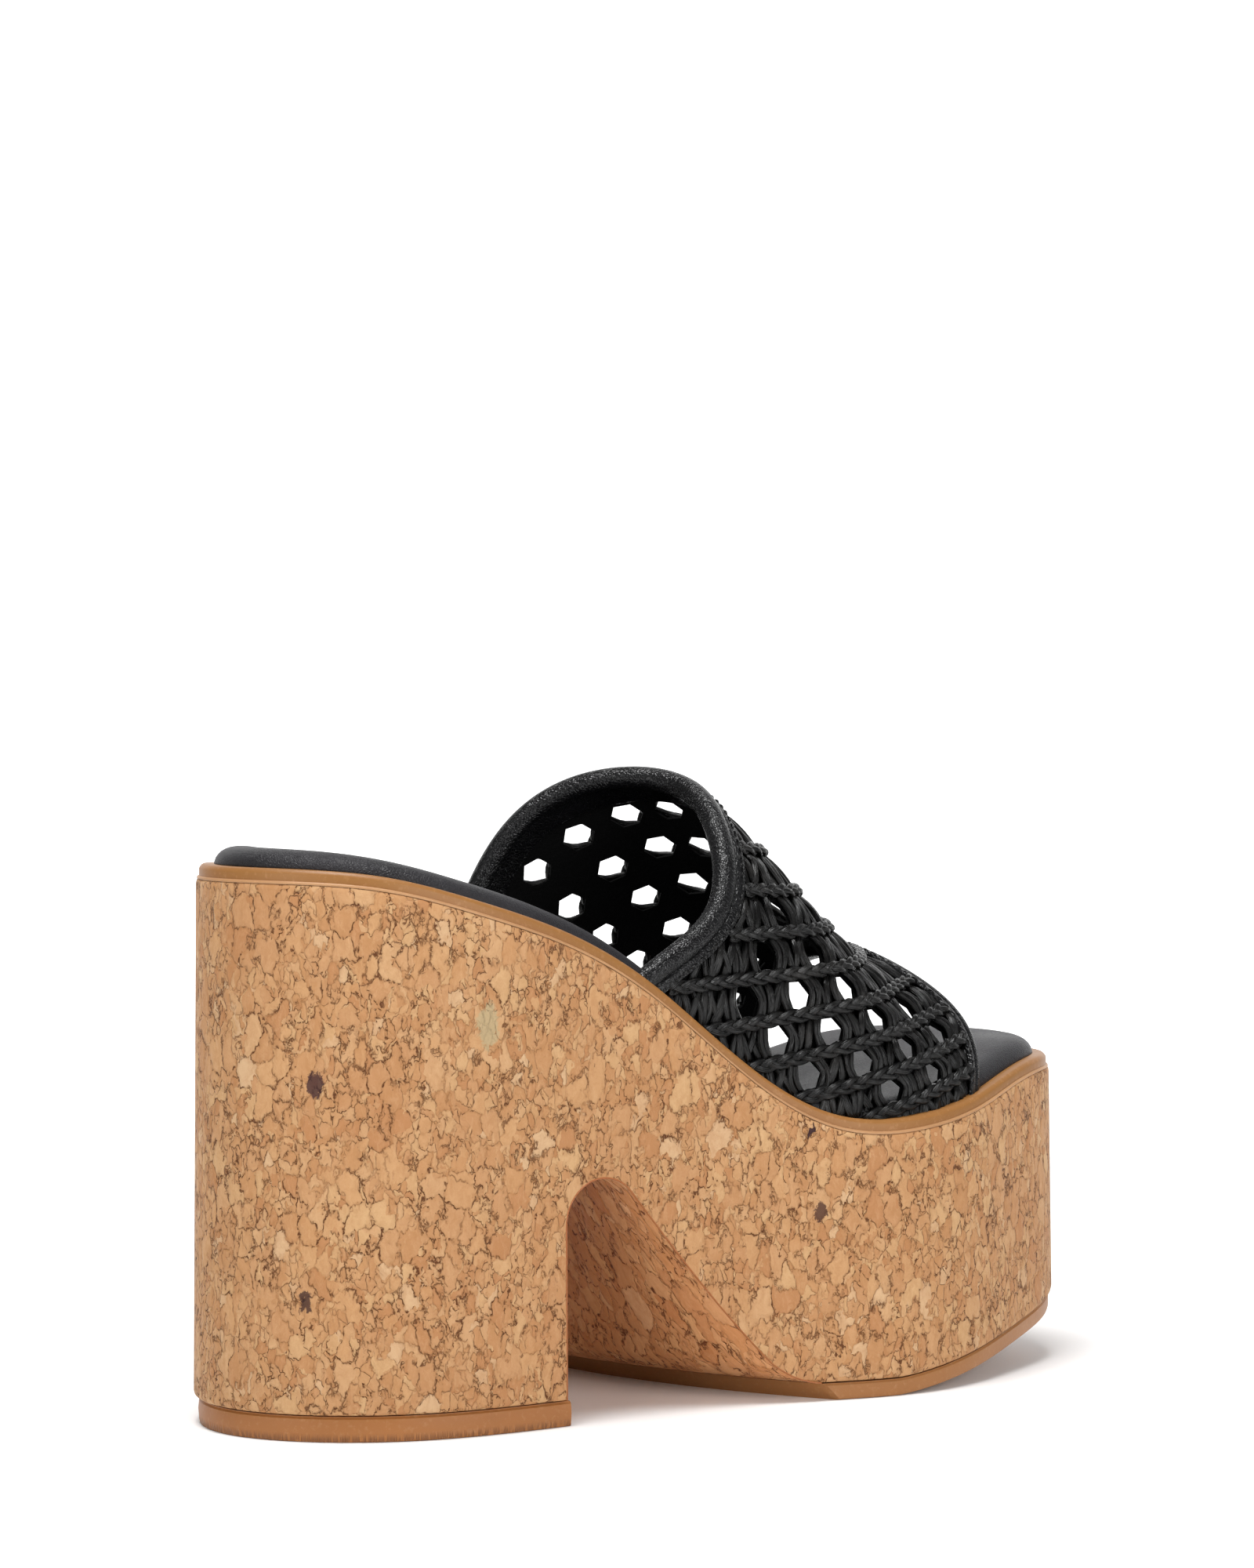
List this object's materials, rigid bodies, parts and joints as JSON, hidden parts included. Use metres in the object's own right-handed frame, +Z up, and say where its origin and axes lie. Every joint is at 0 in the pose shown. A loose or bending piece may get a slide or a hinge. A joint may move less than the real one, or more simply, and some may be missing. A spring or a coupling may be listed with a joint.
{
  "type": "platform mule",
  "caption": "Right open-toed mule: cork platform with a high block heel, arch gap, padded insole and an open-work cord vamp with bound edges.",
  "frame": {"origin": "on the floor at the middle of the heel's flat rest", "axes": "+X from heel to toe, +Y to the wearer's left (the medial side), +Z up"},
  "size_m": [0.2316, 0.1017, 0.1461],
  "materials": {
    "cork": "pressed cork chips, matt",
    "tan_rubber": "semi-gloss",
    "tan_welt": "satin",
    "grey_leather": "fine grain",
    "charcoal_cord": "crocheted cord",
    "black_leather": "soft gloss"
  },
  "bodies": {
    "root": {"cork_platform": "cork", "heel_top_lift": "tan_rubber", "outsole": "tan_rubber", "welt": "tan_welt", "insole": "grey_leather", "upper": "charcoal_cord", "collar_binding": "black_leather", "toe_binding": "black_leather"}
  },
  "joints": []
}
